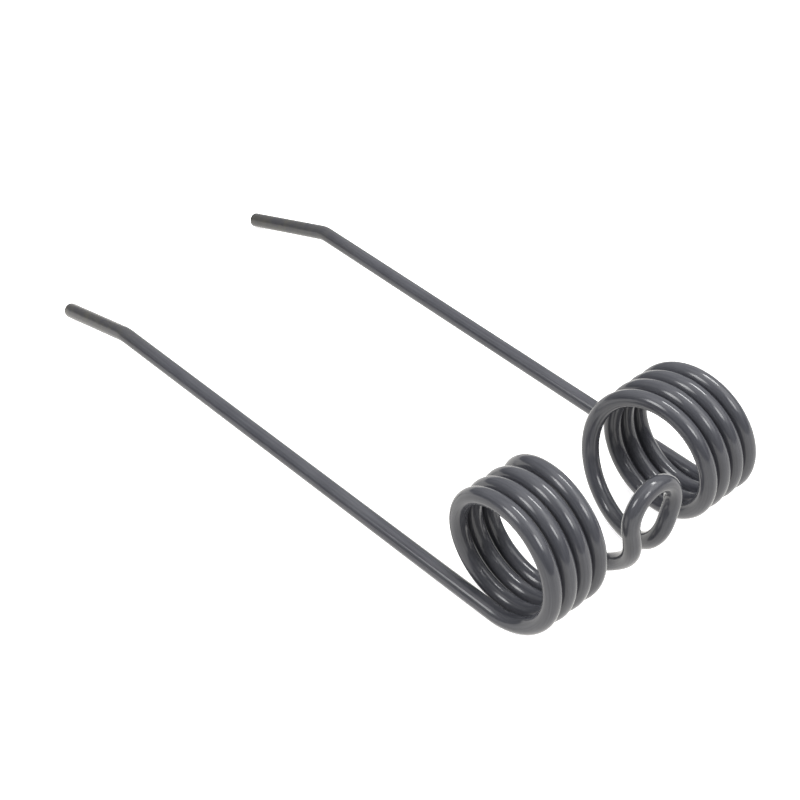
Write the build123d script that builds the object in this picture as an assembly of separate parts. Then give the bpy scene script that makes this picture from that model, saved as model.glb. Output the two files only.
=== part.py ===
from build123d import *
import os
from math import atan2, ceil, cos, degrees, radians, sin, tan

# Double pick-up tine bent from one length of spring wire. The origin is the middle of the
# coil axis, where the bar's own axis passes along Y. The legs run to -X and the clamping eye
# stands at +X. The tine lies as it would on a bench: both coils and both tips reach down to
# the same level, a coil's outer radius below the axis.

# Wire
wire_diameter = 5.5
end_edge_radius = 0.5

# Bar that the coils sit on, and the play between them
bar_diameter = 33.0
bar_play = 2.0

# Coils
coil_turns = 4
coil_pitch = 6.1
open_arc = 225.0
open_shift = 9.7
run_on_arc = 26.6
lead_in_arc = 30.0

# Legs, which splay a little, and tips, which bend down and turn back in
leg_spacing = 88.5
leg_splay = 0.7
leg_length = 184.0
tip_length = 44.0
tip_bend = 17.4
tip_turn_in = 3.5
tip_bend_radius = 12.0

# Eye for the clamping bolt and the neck under it, which is bent a little towards -Y
eye_bore = 13.0
eye_arc = 230.0
eye_height = 3.8
neck_gap = 8.6
neck_shift = 1.0
neck_drop = 9.6
neck_setback = 0.2

# Sizes that follow
wire_radius = wire_diameter / 2
coil_radius = (bar_diameter + bar_play) / 2 + wire_radius
eye_radius = eye_bore / 2 + wire_radius
eye_x = bar_diameter / 2 + wire_radius
coil_end = 360 * coil_turns + run_on_arc
coil_point_step = 15.0
direction_step = 0.01


def leg_rise():
    """Slope of the straight leg, so that the downturned tip comes back to the floor."""
    leg_run = leg_length * cos(radians(leg_splay))
    tip_run = tip_length * cos(radians(leg_splay - tip_turn_in))
    reach = leg_run + tip_run * cos(radians(tip_bend))
    return degrees(atan2(tip_run * sin(radians(tip_bend)), reach))


def coil_point(turned):
    """Point on the far coil's centreline, this many degrees round from the leg."""
    angle = radians(turned - 90 - leg_rise())
    opened = max(0.0, turned - (360 * coil_turns - open_arc)) / open_arc
    y = leg_spacing / 2 - coil_pitch * turned / 360 - open_shift * opened**2
    return Vector(coil_radius * cos(angle), y, coil_radius * sin(angle))


def coil_direction(turned):
    """Direction of travel along the coil at this point."""
    ahead = coil_point(turned + direction_step)
    behind = coil_point(turned - direction_step)
    return (ahead - behind).normalized()


def smooth_curve(points, start_direction, end_direction):
    """Curve through the points that sets off and arrives in the given directions."""
    return Spline(points, tangents=[start_direction, end_direction], tangent_scalars=[1, 1])


def stretch_of_coil(first, last, start_direction):
    """Part of the coil as one smooth curve, from one angle turned to another."""
    count = ceil((last - first) / coil_point_step)
    points = [coil_point(first + (last - first) * i / count) for i in range(count + 1)]
    return smooth_curve(points, start_direction, coil_direction(last))


def leg_direction(drop=0.0, turn_in=0.0):
    """Direction of travel towards the coil, on a stretch bent down and in by these angles."""
    slope = radians(leg_rise() - drop)
    splay = radians(leg_splay - turn_in)
    return Vector(cos(slope) * cos(splay), -sin(splay), -sin(slope) * cos(splay))


def leg_path():
    """Tip, bend and straight leg, ending where the leg runs onto the coil."""
    along_leg = leg_direction()
    along_tip = leg_direction(tip_bend, tip_turn_in)
    foot = coil_point(0)
    corner = foot - along_leg * leg_length
    tip = corner - along_tip * tip_length
    trim = tip_bend_radius * tan(radians(along_leg.get_angle(along_tip)) / 2)
    bend_start = corner - along_tip * trim
    bend_end = corner + along_leg * trim
    bend = TangentArc(bend_start, bend_end, tangent=along_tip)
    return [Line(tip, bend_start), bend, Line(bend_end, foot)]


def coil_path():
    """Lead-in from the leg, the close turns as a true helix, then the turn that opens."""
    closed_end = 360 * coil_turns - open_arc
    start = coil_point(lead_in_arc)
    frame = Plane(origin=(0, start.Y, 0), x_dir=(start.X, 0, start.Z), z_dir=(0, -1, 0))
    rise = coil_pitch * (closed_end - lead_in_arc) / 360
    lead_in = stretch_of_coil(0, lead_in_arc, leg_direction())
    close_turns = frame * Helix(coil_pitch, rise, coil_radius)
    open_turn = stretch_of_coil(closed_end, coil_end, coil_direction(closed_end))
    return [lead_in, close_turns, open_turn]


def eye_point(angle):
    """Point on the eye's centreline, measured from its far side up to the top at 90."""
    across = eye_radius * cos(radians(angle))
    up = eye_radius * sin(radians(angle))
    return Vector(eye_x, across, eye_height + up)


def neck_and_eye(neck_offset):
    """Rise from the coil through the neck, this far from the middle, then half of the eye."""
    low = 90 - eye_arc / 2
    neck = Vector(eye_x - neck_setback, neck_offset, eye_height - neck_drop)
    into_eye = Vector(0, -sin(radians(low)), cos(radians(low)))
    rise = smooth_curve([coil_point(coil_end), neck, eye_point(low)],
                        coil_direction(coil_end), into_eye)
    eye = ThreePointArc(eye_point(low), eye_point((low + 90) / 2), eye_point(90))
    return [rise, eye]


def half_tine(neck_offset):
    """Half of the wire on the +Y side, from the tip to the top of the eye."""
    pieces = leg_path() + coil_path() + neck_and_eye(neck_offset)
    path = Wire([piece.edge() for piece in pieces])
    section = Plane(origin=path @ 0, z_dir=path % 0) * Circle(wire_radius)
    return sweep(section, path=path)


def soften_ends(tine):
    """Slightly rounded rims on the two sheared wire ends."""
    rims = tine.edges().filter_by(GeomType.CIRCLE).sort_by(Axis.X)[:2]
    return fillet(rims, end_edge_radius)


half_neck = (neck_gap + wire_diameter) / 2
far_half = half_tine(half_neck - neck_shift)
near_half = mirror(half_tine(half_neck + neck_shift), about=Plane.XZ)
tine = soften_ends(far_half + near_half)
tine.label = "tine_wire"

os.makedirs("parts", exist_ok=True)
export_step(tine, "parts/tine_wire.step")
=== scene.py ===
import bmesh
import bpy
from math import atan2, ceil, cos, degrees, pi, radians, sin, tan
from mathutils import Matrix, Vector


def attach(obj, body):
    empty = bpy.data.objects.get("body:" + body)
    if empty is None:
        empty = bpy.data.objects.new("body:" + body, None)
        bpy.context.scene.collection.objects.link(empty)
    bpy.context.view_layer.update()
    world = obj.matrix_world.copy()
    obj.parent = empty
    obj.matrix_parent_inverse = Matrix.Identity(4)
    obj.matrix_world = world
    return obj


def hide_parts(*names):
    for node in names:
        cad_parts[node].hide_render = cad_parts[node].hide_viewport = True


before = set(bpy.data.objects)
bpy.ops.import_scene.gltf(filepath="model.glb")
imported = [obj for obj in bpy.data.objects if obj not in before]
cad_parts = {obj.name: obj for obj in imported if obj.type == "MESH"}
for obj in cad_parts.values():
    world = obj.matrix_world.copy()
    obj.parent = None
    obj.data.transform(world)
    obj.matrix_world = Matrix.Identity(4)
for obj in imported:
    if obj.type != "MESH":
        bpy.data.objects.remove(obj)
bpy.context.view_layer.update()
print("frame loaded")


def linearColour(hexCode):
    # what is written as an sRGB hex value, in the linear numbers that the nodes take
    shares = [int(hexCode[i:i + 2], 16) / 255 for i in (1, 3, 5)]
    lin = [s / 12.92 if s <= 0.04045 else ((s + 0.055) / 1.055) ** 2.4 for s in shares]
    return (lin[0], lin[1], lin[2], 1.0)


def addNode(tree, kind, settings=None, links=None):
    # a setting is a property of the node or the value of one of its sockets
    node = tree.nodes.new(kind)
    for name, value in (settings or {}).items():
        if isinstance(name, str) and hasattr(node, name):
            setattr(node, name, value)
        else:
            node.inputs[name].default_value = value
    for name, source in (links or {}).items():
        tree.links.new(source, node.inputs[name])
    return node


def emptyTree(owner):
    owner.use_nodes = True
    owner.node_tree.nodes.clear()
    return owner.node_tree


wireFinish = {
    "deepColour": "#414248",     # where the coat lies thickest
    "thinColour": "#54555a",
    # the tips are satin and mottled, where crop and ground have rubbed them
    "tipDark": "#414145",
    "tipDusty": "#4b4a47",
    "tipFadeMm": (-150, -212),   # where along the leg the gloss starts to go, and where it is gone
    "glossyRough": 0.115,
    "hazyRough": 0.155,
    "tipRough": 0.27,
    # size of one patch in mm, how much finer detail it has, and the part of the noise that is used
    "drift": (14.0, 4.0, 0.35, 0.65),    # clouds in the coat's thickness
    "mottle": (4.0, 3.0, 0.35, 0.65),
    "haze": (6.0, 2.0, 0.3, 0.7),        # patches that were baked a little duller
    "peel": (2.4, 1.0),                  # one dimple of the orange peel
    "marks": (0.7, 2.0, 0.3, 0.7),       # drawing marks, coarser than real ones, so that they show
    "markStretch": 45,           # how many times longer than wide a mark is
    "markShade": 0.62,           # share of the coat's change of colour that follows the marks
    "markDepthMm": 0.026,
    "peelDepthMm": 0.007,
}


def powderCoatedSpringWire(f, wireMm):
    # Anthracite gloss powder, sprayed on drawn spring steel wire and baked. The eye gets crisp
    # lamp streaks, which the drawing marks under the coat split into fine lines along the wire
    # and a faint orange peel makes waver, and a slightly uneven grey that turns satin at the tips.
    mat = bpy.data.materials.new("gloss_powder_coat_on_spring_steel")
    tree = emptyTree(mat)
    bent = addNode(tree, "ShaderNodeTexCoord").outputs["Object"]

    # a place on the wire as it was before it was bent, from the way round it and the run along it
    run = addNode(tree, "ShaderNodeUVMap", {"uv_map": "UVMap"})
    run = addNode(tree, "ShaderNodeSeparateXYZ", links={"Vector": run.outputs[0]})
    turn = addNode(tree, "ShaderNodeMath", {"operation": "MULTIPLY", 1: 2 * pi}, {0: run.outputs["Y"]})
    sides = []
    for side in ("COSINE", "SINE"):
        share = addNode(tree, "ShaderNodeMath", {"operation": side}, {0: turn.outputs[0]})
        sides.append(addNode(tree, "ShaderNodeMath", {"operation": "MULTIPLY", 1: wireMm / 2000},
                             {0: share.outputs[0]}).outputs[0])
    down = addNode(tree, "ShaderNodeMath", {"operation": "DIVIDE", 1: f["markStretch"]},
                   {0: run.outputs["X"]})
    straight = addNode(tree, "ShaderNodeCombineXYZ",
                       links={"X": sides[0], "Y": sides[1], "Z": down.outputs[0]}).outputs[0]

    noise = {}
    for name, place in (("drift", bent), ("mottle", bent), ("haze", bent), ("peel", bent),
                        ("marks", straight)):
        sizeMm, detail = f[name][:2]
        noise[name] = addNode(tree, "ShaderNodeTexNoise", {"Scale": 1000 / sizeMm, "Detail": detail},
                              {"Vector": place}).outputs[0]
    patches = {}
    for name in ("drift", "mottle", "haze", "marks"):
        low, high = f[name][2:]
        patches[name] = addNode(tree, "ShaderNodeMapRange", {"From Min": low, "From Max": high},
                                {"Value": noise[name]}).outputs[0]

    place = addNode(tree, "ShaderNodeSeparateXYZ", links={"Vector": bent})
    starts, ends = [mm / 1000 for mm in f["tipFadeMm"]]
    tip = addNode(tree, "ShaderNodeMapRange",
                  {"interpolation_type": "SMOOTHSTEP", "From Min": starts, "From Max": ends},
                  {"Value": place.outputs["X"]}).outputs[0]
    shade = addNode(tree, "ShaderNodeMix", {"data_type": "FLOAT", 0: f["markShade"]},
                    {2: patches["drift"], 3: patches["marks"]})
    coatColour = addNode(tree, "ShaderNodeMix",
                         {"data_type": "RGBA", 6: linearColour(f["deepColour"]),
                          7: linearColour(f["thinColour"])}, {0: shade.outputs[0]})
    tipColour = addNode(tree, "ShaderNodeMix",
                        {"data_type": "RGBA", 6: linearColour(f["tipDark"]),
                         7: linearColour(f["tipDusty"])}, {0: patches["mottle"]})
    colour = addNode(tree, "ShaderNodeMix", {"data_type": "RGBA"},
                     {0: tip, 6: coatColour.outputs[2], 7: tipColour.outputs[2]})
    coatRough = addNode(tree, "ShaderNodeMix",
                        {"data_type": "FLOAT", 2: f["glossyRough"], 3: f["hazyRough"]},
                        {0: patches["haze"]})
    rough = addNode(tree, "ShaderNodeMix", {"data_type": "FLOAT", 3: f["tipRough"]},
                    {0: tip, 2: coatRough.outputs[0]})
    grooves = addNode(tree, "ShaderNodeBump", {"Distance": f["markDepthMm"] / 1000},
                      {"Height": noise["marks"]})
    dimples = addNode(tree, "ShaderNodeBump", {"Distance": f["peelDepthMm"] / 1000},
                      {"Height": noise["peel"], "Normal": grooves.outputs[0]})
    coat = addNode(tree, "ShaderNodeBsdfPrincipled", {"Metallic": 0.0, "IOR": 1.5},
                   {"Base Color": colour.outputs[2], "Roughness": rough.outputs[0],
                    "Normal": dimples.outputs[0]})
    addNode(tree, "ShaderNodeOutputMaterial", links={"Surface": coat.outputs[0]})
    return mat


tineShape = {
    # millimetres and degrees, all as in the solid apart from nearEyeArc
    "wire": 5.5,
    "endRim": 0.5,               # rounding of the sheared ends
    "coilRadius": 20.25,
    "turns": 4,
    "pitch": 6.1,
    "leadIn": 30.0,              # arc in which the leg runs onto the coil
    "openArc": 225.0,            # last part of the coil, which opens towards the eye
    "openShift": 9.7,
    "runOn": 26.6,
    "legSpacing": 88.5,
    "legSplay": 0.7,
    "legLength": 184.0,
    "tipLength": 44.0,
    "tipBend": 17.4,
    "tipTurnIn": 3.5,
    "bendRadius": 12.0,
    "eyeX": 19.25,
    "eyeRadius": 9.25,
    "eyeArc": 230.0,
    "nearEyeArc": 198.0,         # less than the solid's 230, so that the near strand has no kink
    "eyeHeight": 3.8,
    "neckApart": 14.1,           # between the centres of the two strands
    "neckShift": 1.0,            # both strands lie this far towards the near side
    "neckDrop": 9.6,
    "neckSetback": 0.2,
    "ringSides": 32,
    "ringStep": 0.9,             # between the mesh's rings where the wire is bent
    "tipRings": 10,
    "bendRings": 8,
    "legRings": 45,
    "rimRings": 6,
}


def legRise(s):
    # slope of the leg that brings the tip back down to the table
    legRun = s["legLength"] * cos(radians(s["legSplay"]))
    tipRun = s["tipLength"] * cos(radians(s["legSplay"] - s["tipTurnIn"]))
    reach = legRun + tipRun * cos(radians(s["tipBend"]))
    return degrees(atan2(tipRun * sin(radians(s["tipBend"])), reach))


def legDirection(s, drop=0.0, turnIn=0.0):
    slope, splay = radians(legRise(s) - drop), radians(s["legSplay"] - turnIn)
    return Vector((cos(slope) * cos(splay), -sin(splay), -sin(slope) * cos(splay)))


def coilPoint(s, turned):
    # this many degrees round the far coil from the leg
    angle = radians(turned - 90 - legRise(s))
    opened = max(0.0, turned - (360 * s["turns"] - s["openArc"])) / s["openArc"]
    y = s["legSpacing"] / 2 - s["pitch"] * turned / 360 - s["openShift"] * opened ** 2
    return Vector((s["coilRadius"] * cos(angle), y, s["coilRadius"] * sin(angle)))


def coilDirection(s, turned, step=0.01):
    return (coilPoint(s, turned + step) - coilPoint(s, turned - step)).normalized()


def bentRun(s, first, middle, last, startDirection, endDirection):
    # smooth run through three points, without the last one, as a spline sweeps through them
    h1, h2 = (middle - first).length, (last - middle).length
    pull = (middle - first) * 3 / h1 ** 2 + (last - middle) * 3 / h2 ** 2
    through = (pull - startDirection / h1 - endDirection / h2) / (2 / h1 + 2 / h2)
    run = []
    for a, b, dirA, dirB, h in ((first, middle, startDirection, through, h1),
                                (middle, last, through, endDirection, h2)):
        count = ceil(2 * h / s["ringStep"])
        for t in [i / count for i in range(count)]:
            ease = 3 * t ** 2 - 2 * t ** 3
            run.append(a * (1 - ease) + b * ease
                       + dirA * h * (t ** 3 - 2 * t ** 2 + t) + dirB * h * (t ** 3 - t ** 2))
    return run


def halfPath(s, neckOffset, eyeArc):
    # centreline from the far tip to the top of the eye
    alongLeg, alongTip = legDirection(s), legDirection(s, s["tipBend"], s["tipTurnIn"])
    foot = coilPoint(s, 0)
    corner = foot - alongLeg * s["legLength"]
    trim = s["bendRadius"] * tan(alongTip.angle(alongLeg) / 2)
    path = []
    for i in range(s["tipRings"]):
        path.append(corner - alongTip * (s["tipLength"] + (trim - s["tipLength"]) * i / s["tipRings"]))
    for i in range(s["bendRings"] + 1):
        t = i / s["bendRings"]
        path.append(corner - alongTip * trim * (1 - t) ** 2 + alongLeg * trim * t ** 2)
    for i in range(1, s["legRings"]):
        path.append(corner + alongLeg * (trim + (s["legLength"] - trim) * i / s["legRings"]))

    lead, coilEnd = s["leadIn"], 360 * s["turns"] + s["runOn"]
    path += bentRun(s, foot, coilPoint(s, lead / 2), coilPoint(s, lead),
                    alongLeg, coilDirection(s, lead))
    count = ceil(radians(coilEnd - lead) * s["coilRadius"] / s["ringStep"])
    path += [coilPoint(s, lead + (coilEnd - lead) * i / count) for i in range(count)]

    eye = []
    low = 90 - eyeArc / 2
    count = ceil(radians(eyeArc / 2) * s["eyeRadius"] / s["ringStep"])
    for i in range(count + 1):
        angle = radians(low + (90 - low) * i / count)
        across, up = s["eyeRadius"] * cos(angle), s["eyeRadius"] * sin(angle)
        eye.append(Vector((s["eyeX"], across, s["eyeHeight"] + up)))
    neck = Vector((s["eyeX"] - s["neckSetback"], neckOffset, s["eyeHeight"] - s["neckDrop"]))
    intoEye = Vector((0, -sin(radians(low)), cos(radians(low))))
    path += bentRun(s, coilPoint(s, coilEnd), neck, eye[0], coilDirection(s, coilEnd), intoEye)
    return path + eye


def roundedEnd(s, path):
    # each ring with its share of the thickness, and extra ones at the end, for its rounded rim
    radius, rim = s["wire"] / 2, s["endRim"]
    inwards = (path[1] - path[0]).normalized()
    rings = []
    for i in range(s["rimRings"] + 1):
        angle = radians(90 * i / s["rimRings"])
        place = path[0] + inwards * rim * (1 - cos(angle))
        rings.append((place, 1 - rim * (1 - sin(angle)) / radius))
    return rings + [(place, 1.0) for place in path[1:]]


def bentWire(s):
    far = roundedEnd(s, halfPath(s, s["neckApart"] / 2 - s["neckShift"], s["eyeArc"]))
    near = roundedEnd(s, halfPath(s, s["neckApart"] / 2 + s["neckShift"], s["nearEyeArc"]))
    near = [(Vector((place.x, -place.y, place.z)), share) for place, share in near]
    rings = near + far[-2::-1]
    curve = bpy.data.curves.new("wire_path", "CURVE")
    curve.dimensions = "3D"
    curve.twist_mode = "MINIMUM"
    curve.bevel_depth = s["wire"] / 2000
    curve.bevel_resolution = s["ringSides"] // 2 - 2
    curve.use_fill_caps = True
    line = curve.splines.new("POLY")
    line.points.add(len(rings) - 1)
    for point, (place, share) in zip(line.points, rings):
        point.co = (*(place / 1000), 1)
        point.radius = share
    carrier = bpy.data.objects.new("wire_path", curve)
    mesh = bpy.data.meshes.new_from_object(carrier)
    bpy.data.objects.remove(carrier)

    metres = [0.0]
    for (place, _), (following, _) in zip(rings, rings[1:]):
        metres.append(metres[-1] + (following - place).length / 1000)
    bm = bmesh.new()
    bm.from_mesh(mesh)
    unrolled = bm.loops.layers.uv.active
    for face in bm.faces:
        face.smooth = True
        for corner in face.loops:
            # the curve's own map counts rings along the wire, which become metres here
            ring = round(corner[unrolled].uv.x * (len(rings) - 1))
            corner[unrolled].uv.x = metres[ring]
    bmesh.ops.remove_doubles(bm, verts=bm.verts, dist=1e-7)
    bmesh.ops.recalc_face_normals(bm, faces=bm.faces)
    bm.to_mesh(mesh)
    bm.free()
    return mesh


wire = bpy.data.objects.new("bent_wire", bentWire(tineShape))
bpy.context.collection.objects.link(wire)
wire.data.materials.clear()
wire.data.materials.append(powderCoatedSpringWire(wireFinish, tineShape["wire"]))
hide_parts("tine_wire")
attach(wire, "root")
print("wire bent and finished:", len(wire.data.polygons), "faces")


table = {
    "heightM": -0.023,           # both coils and both tips stand on it
    "sizeM": 6.0,
    "colour": "#f4f4f4",
    "glow": 1.35,                # what the wire mirrors of the white table
    "glowColour": "#fffdf9",
    "lift": 0.75,                # brings the lit table to white in the picture and keeps the shadow
}


def whiteTable(t):
    bpy.ops.mesh.primitive_plane_add(size=t["sizeM"], location=(0, 0, t["heightM"]))
    top = bpy.context.object
    top.name = "table_top"
    mat = bpy.data.materials.new("white_matt_table")
    tree = emptyTree(mat)
    ray = addNode(tree, "ShaderNodeLightPath")
    matt = addNode(tree, "ShaderNodeBsdfDiffuse", {"Color": linearColour(t["colour"])})
    lift = addNode(tree, "ShaderNodeEmission", {"Color": (1, 1, 1, 1), "Strength": t["lift"]})
    seen = addNode(tree, "ShaderNodeAddShader", links={0: matt.outputs[0], 1: lift.outputs[0]})
    glow = addNode(tree, "ShaderNodeEmission",
                   {"Color": linearColour(t["glowColour"]), "Strength": t["glow"]})
    both = addNode(tree, "ShaderNodeMixShader", links={0: ray.outputs["Is Camera Ray"],
                                                       1: glow.outputs[0], 2: seen.outputs[0]})
    addNode(tree, "ShaderNodeOutputMaterial", links={"Surface": both.outputs[0]})
    top.data.materials.append(mat)


def compass(azimuth, elevation):
    # unit vector, azimuth from +Y towards +X
    a, e = radians(azimuth), radians(elevation)
    return Vector((sin(a) * cos(e), cos(a) * cos(e), sin(e)))


room = {
    # brightness of each part, as the gloss coat mirrors it
    "skirting": 0.03,
    "walls": 0.45,
    "ceiling": 1.35,
    "wallRise": (0.09, 0.57),    # how far up the walls take over from the skirting, from 0 to 1
    "ceilingRise": (0.72, 0.97),
    # azimuth and elevation, brightness, and the degrees from there between which it fades
    "glows": [(-25, 5, 0.38, 18, 66),        # pale backdrop behind the tine
              (47, 48, 2.0, 8, 32),          # wall beside the side box
              (93, 47, 13.5, 2, 14.8),       # side box, brightest in its middle
              (-160, 42, 10.4, 2, 16.5)],    # front box
    # the room is darker behind the camera, in this direction
    "cameraSide": (142, 38),
    "cameraDark": 0.4,
    "cameraFade": (18, 53),
}


def studioRoom(r):
    world = bpy.data.worlds.new("studio")
    bpy.context.scene.world = world
    tree = emptyTree(world)
    ray = addNode(tree, "ShaderNodeLightPath")
    view = addNode(tree, "ShaderNodeTexCoord").outputs["Generated"]

    def glowTowards(direction, fromShare, toShare, low, high):
        # goes from low to high as more of the view points in the direction
        facing = addNode(tree, "ShaderNodeVectorMath", {"operation": "DOT_PRODUCT", 1: direction},
                         {0: view})
        return addNode(tree, "ShaderNodeMapRange",
                       {"interpolation_type": "SMOOTHSTEP", "From Min": fromShare,
                        "From Max": toShare, "To Min": low, "To Max": high},
                       {"Value": facing.outputs["Value"]}).outputs[0]

    total = glowTowards((0, 0, 1), *r["wallRise"], r["skirting"], r["walls"])
    glows = [glowTowards((0, 0, 1), *r["ceilingRise"], 0.0, r["ceiling"] - r["walls"])]
    for azimuth, elevation, strength, full, gone in r["glows"]:
        glows.append(glowTowards(compass(azimuth, elevation), cos(radians(gone)),
                                 cos(radians(full)), 0.0, strength))
    for glow in glows:
        total = addNode(tree, "ShaderNodeMath", {"operation": "ADD"}, {0: total, 1: glow}).outputs[0]
    full, gone = r["cameraFade"]
    shade = glowTowards(compass(*r["cameraSide"]), cos(radians(gone)), cos(radians(full)),
                        1.0, r["cameraDark"])
    strength = addNode(tree, "ShaderNodeMath", {"operation": "MULTIPLY"}, {0: total, 1: shade})
    walls = addNode(tree, "ShaderNodeBackground", {"Color": (1, 1, 1, 1)},
                    {"Strength": strength.outputs[0]})
    white = addNode(tree, "ShaderNodeBackground", {"Color": (1, 1, 1, 1), "Strength": 1.0})
    through = addNode(tree, "ShaderNodeMath", {"operation": "MAXIMUM"},
                      {0: ray.outputs["Is Camera Ray"], 1: ray.outputs["Is Transmission Ray"]})
    seen = addNode(tree, "ShaderNodeMixShader",
                   links={0: through.outputs[0], 1: walls.outputs[0], 2: white.outputs[0]})
    addNode(tree, "ShaderNodeOutputWorld", links={"Surface": seen.outputs[0]})


overheadStrip = {
    "from": (-7, 62.5),          # azimuth and elevation
    "awayM": 1.2,
    "sizeM": (0.5, 0.21),
    "watts": 5.2,
}


def softbox(name, lamp):
    data = bpy.data.lights.new(name, "AREA")
    data.shape = "RECTANGLE"
    data.size, data.size_y = lamp["sizeM"]
    data.energy = lamp["watts"]
    obj = bpy.data.objects.new(name, data)
    bpy.context.collection.objects.link(obj)
    away = compass(*lamp["from"])
    turned = away.to_track_quat("Z", "Y").to_matrix().to_4x4()
    obj.matrix_world = Matrix.Translation(away * lamp["awayM"]) @ turned


whiteTable(table)
studioRoom(room)
softbox("overhead_strip", overheadStrip)
print("table, room and lamp set")


camera = {
    "placeMm": (234.72, -271.40, 312.41),
    "azimuth": 50.158,
    "elevation": 37.657,
    "roll": -3.891,
    "lensMm": 71.37,
    "sensorMm": 36.0,
}


def photoCamera(c):
    data = bpy.data.cameras.new("camera")
    data.sensor_width = c["sensorMm"]
    data.lens = c["lensMm"]
    obj = bpy.data.objects.new("camera", data)
    bpy.context.collection.objects.link(obj)
    a, e, r = radians(c["azimuth"]), radians(c["elevation"]), radians(c["roll"])
    back = Vector((sin(a) * cos(e), -cos(a) * cos(e), sin(e)))
    right = Vector((cos(a), sin(a), 0))
    up = back.cross(right)
    side = right * cos(r) + up * sin(r)
    top = up * cos(r) - right * sin(r)
    turned = Matrix((side, top, back)).transposed().to_4x4()
    obj.matrix_world = Matrix.Translation(Vector(c["placeMm"]) / 1000) @ turned
    bpy.context.scene.camera = obj


photoCamera(camera)
bpy.context.scene.view_settings.view_transform = "Standard"
print("camera set")
